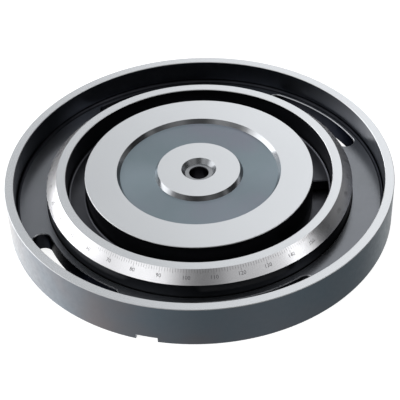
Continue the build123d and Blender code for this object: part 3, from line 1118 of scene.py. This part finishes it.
# ---------------------------------------------------------------- turntable and hub
@dataclass
class Turntable:
    """Table, web with its window, rim for the dial, and the spigot inside the bearing. Millimetres."""

    top: float = 35.0
    table: float = 88.2
    recess: tuple[float, float] = (61.2, 63.5)
    recess_floor: float = 31.5
    hub_seat: tuple[float, float] = (34.32, 27.5)
    hub_bore: float = 24.02
    boss_bottom: float = 20.0
    spigot: tuple[float, float] = (43.98, 54.98)
    spigot_end: float = 4.7
    shoulder: tuple[float, float] = (62.5, 19.5)
    plate_bottom: float = 25.0
    skirt: float = 83.42
    web: tuple[float, float] = (6.0, 15.0)
    rim: tuple[float, float] = (103.1, 118.5)
    dial_seat: float = 24.0
    fillet: float = 2.0
    edge: float = 0.4
    window_radii: tuple[float, float] = (88.25, 101.0)
    window_ends: tuple[float, float] = (-29.9, 18.1)
    window_chamfer: float = 0.8
    dial_ledge: float = 10.2
    dial_dowel_start: float = 17.0
    hub_ledge: float = 24.2
    clamp_thread_end: float = 11.8

    def outline(self) -> Outline:
        """Half section of the turned table, from the hub bore out along the underside and back over the top.

        Returns:
            The closed outline.
        """
        ground, blued, slope, side, bored, edge, low, outside = range(8)
        f, e, web = self.fillet, self.edge, self.web[1]
        line = Outline().at(self.hub_bore, self.boss_bottom).to(self.spigot[0], self.boss_bottom, bored)
        line.to(self.spigot[0], self.spigot_end, bored).to(self.spigot[1], self.spigot_end, bored)
        line.to(self.spigot[1], self.shoulder[1], bored).to(self.shoulder[0], self.shoulder[1], bored)
        line.to(self.shoulder[0], self.plate_bottom, bored).to(self.skirt, self.plate_bottom, bored)
        line.to(self.skirt, self.web[0], bored).to(self.rim[1], self.web[0], bored)
        line.to(self.rim[1], self.dial_seat, outside).to(self.rim[0], self.dial_seat, bored)
        line.to(self.rim[0], web + f, side)
        # The web's top between the fillets, the inner channel's floor, takes the dark well floor finish:
        # painted shade.
        line.round_to(self.rim[0] - f, web, (self.rim[0] - f, web + f), side).to(self.table + f, web, low)
        line.round_to(self.table, web + f, (self.table + f, web + f), side)
        line.to(self.table, self.top - e, side).to(self.table - e, self.top, edge)
        line.to(self.recess[1], self.top, ground).to(self.recess[0], self.recess_floor, slope)
        line.to(self.hub_seat[0], self.recess_floor, blued).to(self.hub_seat[0], self.hub_seat[1], bored)
        return line.to(self.hub_bore, self.hub_seat[1], bored).closed(bored)

    def window_cutter(self, skin: int = 3) -> bpy.types.Object:
        """Sector through the web, its ends flared at 45 degrees near the channel floor.

        Args:
            skin: finish number of the window's sides.

        Returns:
            The cutter.
        """
        inner, outer = self.window_radii
        low, high = self.window_ends
        flare = math.degrees(self.window_chamfer / (0.5 * (inner + outer)))
        floor = self.web[1]
        levels = ((0.0, self.web[0] - OVERRUN), (0.0, floor - self.window_chamfer), (flare, floor),
                  (flare, floor + 3.0))
        rings = [sector(low - wider, high + wider, inner, outer, z) for wider, z in levels]
        return stacks("window_cutter", [rings], [], skin)

    def drillings(self) -> list[Holes]:
        """Counterbores, dowel holes and threads, all from below.

        Returns:
            The holes, in the order in which they are cut.
        """
        dial, hub = self.dial_seat + 1.0, self.hub_seat[1] + OVERRUN
        dial_start, hub_start = self.web[0] - OVERRUN, self.boss_bottom - OVERRUN
        clamp_start = self.spigot_end - OVERRUN
        return [counterbored(DIAL_CIRCLE, dial_start, self.dial_ledge, dial),
                dowelled(DIAL_CIRCLE, self.dial_dowel_start, dial),
                counterbored(HUB_CIRCLE, hub_start, self.hub_ledge, hub),
                dowelled(HUB_CIRCLE, hub_start, hub),
                straight(INNER_CLAMP_CIRCLE, 6, M4_HOLE, clamp_start, self.clamp_thread_end)]

    def build(self, finishes: Finishes) -> None:
        """Builds and mounts the turntable.

        Args:
            finishes: the stage's materials.
        """
        skins = finishes(Finish.GROUND, Finish.BLUED, Finish.TURNED_SLOPE, Finish.WELL_SIDE, Finish.BORED,
                         Finish.GROUND_EDGE, Finish.WELL_FLOOR_PAINTED_SHADE, Finish.DIAL_SIDE)
        piece = turned("turntable_finished", self.outline(), skins)
        carved(piece, self.window_cutter())
        bored = 4
        drill(piece, bored, *self.drillings())
        mount(piece, "rotor", "turntable")


@dataclass
class CentreHub:
    """Hub with its lead-in cone, and the bush in its bore. Millimetres."""

    top: float = 35.0
    bottom: float = 12.0
    seat: float = 27.5
    radii: tuple[float, float, float] = (24.0, 32.0, 34.3)
    recess_floor: float = 31.5
    cone: tuple[float, float, float] = (10.72, 13.5, 31.2)
    bush: tuple[float, float] = (7.2, 10.7)
    bush_chamfer: float = 0.5
    screw_face: float = 20.2
    screw_shank: float = 8.0
    screw_end: float = 32.6
    dowel_start: float = 20.0
    dowel_end: float = 32.5

    def hub(self, finishes: Finishes) -> None:
        """Turns the hub: spigot, flange, slope, ground face and cone.

        Args:
            finishes: the stage's materials.
        """
        ground, slope, cone, bored = range(4)
        bore, flare, floor = self.cone
        line = Outline().at(bore, self.bottom).to(self.radii[0], self.bottom, bored)
        line.to(self.radii[0], self.seat, bored).to(self.radii[2], self.seat, bored)
        line.to(self.radii[2], self.recess_floor, slope).to(self.radii[1], self.top, slope)
        line.to(flare, self.top, ground).to(bore, floor, cone).closed(bored)
        piece = turned("centre_hub_finished", line,
                       finishes(Finish.GROUND, Finish.TURNED_SLOPE, Finish.BORED, Finish.BORED))
        start = self.seat - OVERRUN
        drill(piece, bored, straight(HUB_CIRCLE, 4, M4_HOLE, start, self.screw_end),
              dowelled(HUB_CIRCLE, start, self.dowel_end))
        mount(piece, "rotor", "centre_hub")

    def bushing(self, finishes: Finishes) -> None:
        """Turns the bush, its upper bore edge chamfered; the bore and its chamfer are painted near black as
        shade.

        Args:
            finishes: the stage's materials.
        """
        bored, bore_shade = range(2)
        (low, high), floor, c = self.bush, self.cone[2], self.bush_chamfer
        line = Outline().at(low, self.bottom).to(high, self.bottom, bored).to(high, floor, bored)
        # Painted shade: the bore and its chamfer take the near-black finish.
        line.to(low + c, floor, bored).to(low, floor - c, bore_shade).closed(bore_shade)
        piece = turned("centre_bush_finished", line, finishes(Finish.BORED, Finish.BORE_PAINTED_SHADE), COARSE)
        mount(piece, "rotor", "centre_bush")

    def build(self, finishes: Finishes) -> None:
        """Builds the hub, its bush, screws and dowels.

        Args:
            finishes: the stage's materials.
        """
        self.hub(finishes)
        self.bushing(finishes)
        HexScrews("hub_screws", "rotor", HUB_CIRCLE, 4, self.screw_face, cap_head(self.screw_shank),
                  CAP_SOCKET).build(finishes)
        Dowels("hub_dowels", HUB_CIRCLE, self.dowel_start, self.dowel_end).build(finishes)


# ---------------------------------------------------------------- dial
class Mark(Enum):
    """Lengths of the dial's lines down the bevel, in millimetres."""

    DEGREE = 2.6
    FIVE = 3.4
    TEN = 4.2


@dataclass
class DialRing:
    """Bevelled ring with a line at every degree and a figure at every ten. Millimetres.

    Attributes:
        line_start: where the lines begin, down the bevel from its top edge.
        cap_share: height of a figure over the size of its type.
        figure_low: foot of the figures, down the bevel from its top edge.
        figure_out: how far outside the bevel's top edge the figures keep their true width.
        figure_zero: angle of the figure 0, in degrees.
        proud: how far the marks stand off the bevel.
        sunk: how far they reach into it.
    """

    inner: float = 103.1
    outer: float = 118.5
    seat: float = 24.0
    bevel_foot: float = 26.7
    bevel_top: float = 110.2
    top: float = 35.0
    edge: float = 0.4
    screw_face: float = 6.2
    screw_shank: float = 20.5
    screw_end: float = 31.1
    dowel_start: float = 17.0
    dowel_end: float = 31.0
    line_width: float = 0.2
    line_start: float = 0.15
    figure_height: float = 2.8
    cap_share: float = 0.69
    figure_low: float = 7.6
    figure_out: float = 4.4
    figure_zero: float = 180.0
    proud: float = 0.01
    sunk: float = 0.06

    def ring(self, finishes: Finishes) -> None:
        """Turns the ring and drills it from below.

        Args:
            finishes: the stage's materials.
        """
        ground, bevel, side, bored, edge, well = range(6)
        line = Outline().at(self.inner, self.seat).to(self.outer, self.seat, bored)
        line.to(self.outer, self.bevel_foot, side).to(self.bevel_top, self.top, bevel)
        line.to(self.inner + self.edge, self.top, ground).to(self.inner, self.top - self.edge, edge)
        line.closed(well)
        skins = finishes(Finish.GROUND, Finish.TURNED_BEVEL, Finish.DIAL_SIDE, Finish.BORED,
                         Finish.GROUND_EDGE, Finish.WELL_SIDE)
        piece = turned("dial_ring_finished", line, skins)
        start = self.seat - OVERRUN
        drill(piece, bored, straight(DIAL_CIRCLE, 4, M4_HOLE, start, self.screw_end),
              dowelled(DIAL_CIRCLE, start, self.dowel_end))
        mount(piece, "rotor", "dial_ring")

    def on_bevel(self, angle: Array, slant: Array, lift: Array) -> Array:
        """Bevel surface: the point at a slant below the top edge, lifted along the cone's outward normal.

        Args:
            angle: angle round the axis, in radians.
            slant: distance down the cone from its top edge.
            lift: distance off the cone.

        Returns:
            Points, one row for each input.
        """
        root = 1 / math.sqrt(2)
        radius = self.bevel_top + (slant + lift) * root
        height = self.top + (lift - slant) * root
        return np.stack([radius * np.cos(angle), radius * np.sin(angle), height], axis=-1)

    def lines(self, finishes: Finishes) -> None:
        """Paint-filled lines: closed slabs, each a box in (angle, slant, lift), longer at 5 and 10 degrees.

        Args:
            finishes: the stage's materials.
        """
        degrees = np.arange(360)
        length = np.full(360, Mark.DEGREE.value)
        length[degrees % 5 == 0] = Mark.FIVE.value
        length[degrees % 10 == 0] = Mark.TEN.value
        side = np.array([-1, 1, 1, -1] * 2)
        end = np.array([0, 0, 1, 1] * 2)
        level = np.array([-self.sunk] * 4 + [self.proud] * 4)
        slant = self.line_start + end * length[:, None]
        angle = np.radians(degrees)[:, None] + side * self.line_width / 2 / (self.bevel_top + 1.0)
        points = self.on_bevel(angle, slant, np.broadcast_to(level, slant.shape)).reshape(-1, 3)
        box = np.array([(0, 1, 2, 3), (7, 6, 5, 4), (4, 5, 1, 0), (5, 6, 2, 1), (6, 7, 3, 2), (7, 4, 0, 3)])
        faces = (box[None] + 8 * degrees[:, None, None]).reshape(-1, 4)
        piece = new_object("dial_lines", points, faces.tolist(), np.zeros(len(faces)),
                           finishes(Finish.ENGRAVING))
        mount(piece, "rotor", "dial_ring", False)

    def figure(self, value: int) -> tuple[Array, list[list[int]]]:
        """Sets one figure as a flat slab, centred on x, its foot at y = 0.

        Args:
            value: the number that it shows.

        Returns:
            Its points in millimetres, one row each, and the point numbers of its faces.
        """
        curve = bpy.data.curves.new("figure", "FONT")
        curve.body = str(value)
        curve.align_x = "CENTER"
        curve.size = self.figure_height / self.cap_share
        curve.extrude = 0.5
        curve.resolution_u = 2
        text = bpy.data.objects.new("figure", curve)
        bpy.context.scene.collection.objects.link(text)
        bpy.context.view_layer.update()
        depsgraph = bpy.context.evaluated_depsgraph_get()
        slab = bpy.data.meshes.new_from_object(text.evaluated_get(depsgraph))
        points = np.empty(3 * len(slab.vertices))
        slab.vertices.foreach_get("co", points)
        faces = [list(polygon.vertices) for polygon in slab.polygons]
        bpy.data.objects.remove(text)
        bpy.data.curves.remove(curve)
        bpy.data.meshes.remove(slab)
        return points.reshape(-1, 3), faces

    def figures(self, finishes: Finishes) -> None:
        """Figures at every ten degrees: x of a figure runs along the cone's circle and y up its slant.

        Args:
            finishes: the stage's materials.
        """
        points: list[Array] = []
        faces: list[list[int]] = []
        start = 0
        for value in range(0, 360, 10):
            flat, own = self.figure(value)
            x, y, z = flat.T
            angle = math.radians(value + self.figure_zero) + x / (self.bevel_top + self.figure_out)
            lift = np.where(z > 0, self.proud, -self.sunk)
            points.append(self.on_bevel(angle, self.figure_low - y, lift))
            faces += [[start + corner for corner in face] for face in own]
            start += len(flat)
        piece = new_object("dial_figures", np.concatenate(points), faces, np.zeros(len(faces)),
                           finishes(Finish.ENGRAVING))
        piece.data.validate()
        mount(piece, "rotor", "dial_ring", False)

    def build(self, finishes: Finishes) -> None:
        """Builds the ring, its lines and figures, and its screws and dowels.

        Args:
            finishes: the stage's materials.
        """
        self.ring(finishes)
        self.lines(finishes)
        self.figures(finishes)
        HexScrews("dial_ring_screws", "rotor", DIAL_CIRCLE, 4, self.screw_face, cap_head(self.screw_shank),
                  CAP_SOCKET).build(finishes)
        Dowels("dial_ring_dowels", DIAL_CIRCLE, self.dowel_start, self.dowel_end).build(finishes)


# ---------------------------------------------------------------- studio
@dataclass(frozen=True)
class TentBand:
    """Brightness of the tent by heading, from the height where it starts to the one where it is whole.

    Attributes:
        low: height (sine of the elevation) where the band starts to show.
        high: height where it has replaced the band below.
        levels: (heading, level) pairs; heading is 0 in front, 90 right, 180 behind the object, 270 left.
    """

    low: float
    high: float
    levels: tuple[tuple[float, float], ...]


TENT = (
    TentBand(-1.0, -1.0, (
        (0, 0.53), (42, 0.65), (70, 0.52), (90, 0.46), (106, 0.46), (122, 0.58), (138, 1.15), (155, 0.85),
        (180, 1.0), (205, 2.9), (225, 3.0), (250, 3.0), (274, 2.0), (290, 1.35), (302, 1.12), (320, 0.9),
        (338, 0.75), (360, 0.53))),
    TentBand(-0.2, 0.0, (
        (0, 0.1), (24, 0.22), (42, 0.22), (54, 0.13), (66, 0.33), (76, 0.06), (93, 0.05), (112, 0.22),
        (125, 0.3), (140, 0.3), (155, 0.4), (172, 0.6), (205, 0.6), (216, 0.7), (224, 1.2), (233, 3.6),
        (242, 4.0), (262, 3.2), (274, 2.8), (283, 2.0), (290, 0.8), (302, 0.38), (316, 0.34), (330, 0.1),
        (343, 0.06), (360, 0.1))),
    TentBand(0.12, 0.28, (
        (0, 0.1), (24, 0.2), (38, 0.18), (54, 0.12), (66, 0.33), (76, 0.06), (93, 0.05), (112, 0.18),
        (125, 0.22), (140, 0.25), (155, 0.3), (185, 0.6), (203, 1.0), (209, 4.5), (214, 7.0), (222, 6.0),
        (235, 3.8), (262, 2.9), (272, 2.7), (283, 1.8), (292, 0.7), (302, 0.35), (316, 0.3), (330, 0.1),
        (343, 0.06), (360, 0.1))),
    TentBand(0.41, 0.54, (
        (0, 0.15), (10, 0.22), (22, 0.55), (38, 0.65), (64, 0.95), (70, 2.5), (85, 2.6), (91, 0.6),
        (98, 0.06), (118, 0.13), (132, 0.38), (146, 0.8), (160, 1.62), (169, 1.56), (174, 1.46),
        (180, 1.27), (186, 0.93), (191, 0.7), (197, 0.72), (203, 1.6), (208, 2.8), (216, 2.2), (240, 1.6),
        (262, 1.5), (274, 1.1), (286, 1.2), (300, 1.55), (316, 1.55), (330, 1.3), (339, 0.5), (350, 0.15),
        (360, 0.15))),
    TentBand(0.62, 0.743, (
        (0, 0.18), (12, 0.28), (22, 0.6), (38, 0.65), (53, 0.85), (64, 1.0), (72, 2.3), (84, 2.4),
        (92, 0.5), (100, 0.06), (118, 0.1), (135, 0.4), (150, 0.85), (160, 1.02), (169, 0.94), (174, 0.84),
        (180, 0.64), (186, 0.49), (191, 0.4), (200, 0.6), (212, 0.9), (235, 1.5), (258, 1.5), (270, 1.15),
        (285, 1.25), (300, 1.55), (318, 1.55), (330, 1.3), (338, 0.8), (346, 0.35), (360, 0.18))),
    TentBand(0.85, 1.0, (
        (0, 0.3), (90, 0.3), (135, 0.4), (180, 0.6), (270, 0.6), (360, 0.3))),
)


@dataclass
class Studio:
    """Pale floor, soft light brighter from the left, and the camera. Metres and degrees."""

    heading: float = 16.1
    distance: float = 0.9441
    elevation: float = 39.86
    yaw: float = -0.0035
    pitch: float = -1.4655
    roll: float = -2.438
    lens: float = 109.87
    target_height: float = 0.035
    floor_half: float = 6.0
    floor_tone: float = 0.45
    floor_glow: float = 0.85
    lamp_azimuth: float = 100.0
    lamp_elevation: float = 80.0
    lamp_distance: float = 1.8
    lamp_size: tuple[float, float] = (1.5, 1.2)
    lamp_power: float = 6.0

    def camera(self) -> None:
        """Camera on a sphere round the top face's centre, then turned by small yaw, pitch and roll."""
        tall = math.radians(self.elevation)
        place = Vector((0.0, -self.distance * math.cos(tall), self.distance * math.sin(tall)))
        ahead = -place.normalized()
        right = ahead.cross(Vector((0, 0, 1))).normalized()
        up = right.cross(ahead)
        aside, tilt = math.tan(math.radians(self.yaw)), math.tan(math.radians(self.pitch))
        ahead = (ahead + aside * right + tilt * up).normalized()
        right = ahead.cross(up).normalized()
        up = right.cross(ahead)
        lean = math.radians(self.roll)
        across = right * math.cos(lean) + up * math.sin(lean)
        above = -right * math.sin(lean) + up * math.cos(lean)
        turn = Matrix.Rotation(math.radians(self.heading), 4, "Z")
        axes = Matrix((across, above, -ahead)).transposed().to_4x4()
        axes.translation = place
        data = bpy.data.cameras.new("studio_camera")
        data.lens = self.lens
        data.sensor_width = 36.0
        data.clip_start = 0.05
        data.clip_end = 20.0
        camera = bpy.data.objects.new("studio_camera", data)
        camera.matrix_world = Matrix.Translation((0, 0, self.target_height)) @ turn @ axes
        bpy.context.scene.collection.objects.link(camera)
        bpy.context.scene.camera = camera

    def floor(self) -> None:
        """Wide pale floor under the object."""
        half = self.floor_half
        mesh = bpy.data.meshes.new("studio_floor")
        mesh.from_pydata([(-half, -half, 0), (half, -half, 0), (half, half, 0), (-half, half, 0)], [],
                         [(0, 1, 2, 3)])
        sheet = NodeSheet("studio_floor")
        dim = 0.985 * self.floor_tone
        stops = ((0.3, (dim,) * 3), (0.7, (self.floor_tone,) * 3))
        sheet.join(sheet.ramp(sheet.noise(3.0), stops), sheet.shader.inputs["Base Color"])
        sheet.fill(sheet.shader, {"Roughness": 0.9, "Specular IOR Level": 0.0,
                                  "Emission Color": (1.0, 1.0, 1.0, 1.0),
                                  "Emission Strength": self.floor_glow})
        mesh.materials.append(sheet.material)
        floor = bpy.data.objects.new("studio_floor", mesh)
        floor.location.z = -0.0002
        floor.visible_glossy = False
        bpy.context.scene.collection.objects.link(floor)

    def sky(self) -> None:
        """Soft tent whose brightness depends on direction only: a level by heading, blended by height."""
        world = bpy.data.worlds.new("soft_tent")
        bpy.context.scene.world = world
        world.use_nodes = True
        graph = NodeGraph(world.node_tree)
        out = graph.add("ShaderNodeOutputWorld")
        background = graph.add("ShaderNodeBackground", {"Strength": 1.0})
        graph.join(background.outputs[0], out.inputs[0])
        direction = graph.add("ShaderNodeTexCoord").outputs["Generated"]
        turn = graph.add("ShaderNodeVectorRotate", rotation_type="Z_AXIS")
        turn.inputs["Angle"].default_value = math.radians(-90.0 - self.heading)
        graph.join(direction, turn.inputs["Vector"])
        heading = graph.add("ShaderNodeTexGradient", gradient_type="RADIAL")
        graph.join(turn.outputs[0], heading.inputs["Vector"])
        split = graph.add("ShaderNodeSeparateXYZ")
        graph.join(direction, split.inputs[0])
        level: Optional[bpy.types.NodeSocket] = None
        for band in TENT:
            stops = [(at / 360.0, (value,) * 3) for at, value in band.levels]
            own = graph.ramp(heading.outputs["Fac"], stops, "EASE")
            if level is None:
                level = own
                continue
            blend = graph.add("ShaderNodeMapRange", {"From Min": band.low, "From Max": band.high},
                              interpolation_type="SMOOTHSTEP")
            graph.join(split.outputs["Z"], blend.inputs["Value"])
            mix = graph.add("ShaderNodeMix", data_type="RGBA")
            graph.join(blend.outputs["Result"], mix.inputs[0])
            graph.join(level, mix.inputs[6])
            graph.join(own, mix.inputs[7])
            level = mix.outputs[2]
        graph.join(level, background.inputs["Color"])

    def lamp(self) -> None:
        """Wide soft light from above that faces the object."""
        data = bpy.data.lights.new("top_box", "AREA")
        data.shape = "RECTANGLE"
        data.size, data.size_y = self.lamp_size
        data.energy = self.lamp_power
        light = bpy.data.objects.new("top_box", data)
        turn, tall = math.radians(self.lamp_azimuth + self.heading), math.radians(self.lamp_elevation)
        place = Vector((math.cos(turn) * math.cos(tall), math.sin(turn) * math.cos(tall), math.sin(tall)))
        place *= self.lamp_distance
        facing = place.to_track_quat("Z", "Y").to_matrix().to_4x4()
        light.matrix_world = Matrix.Translation(place) @ facing
        bpy.context.scene.collection.objects.link(light)

    def build(self) -> None:
        """Sets up the camera, the floor and the light."""
        self.camera()
        self.floor()
        self.sky()
        self.lamp()
        bpy.context.scene.view_settings.view_transform = "Standard"
        LOG.info("studio: camera at %.4f m", self.distance)


def main() -> None:
    """Builds the rotation stage piece by piece, then the studio."""
    logging.basicConfig(level=logging.INFO, format="%(name)s %(message)s")
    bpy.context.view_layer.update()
    finishes = Finishes()
    BaseHousing().build(finishes)
    CrossedRollerBearing().build(finishes)
    BearingClamps().build(finishes)
    Turntable().build(finishes)
    DialRing().build(finishes)
    CentreHub().build(finishes)
    Studio().build()


if __name__ == "__main__":
    main()
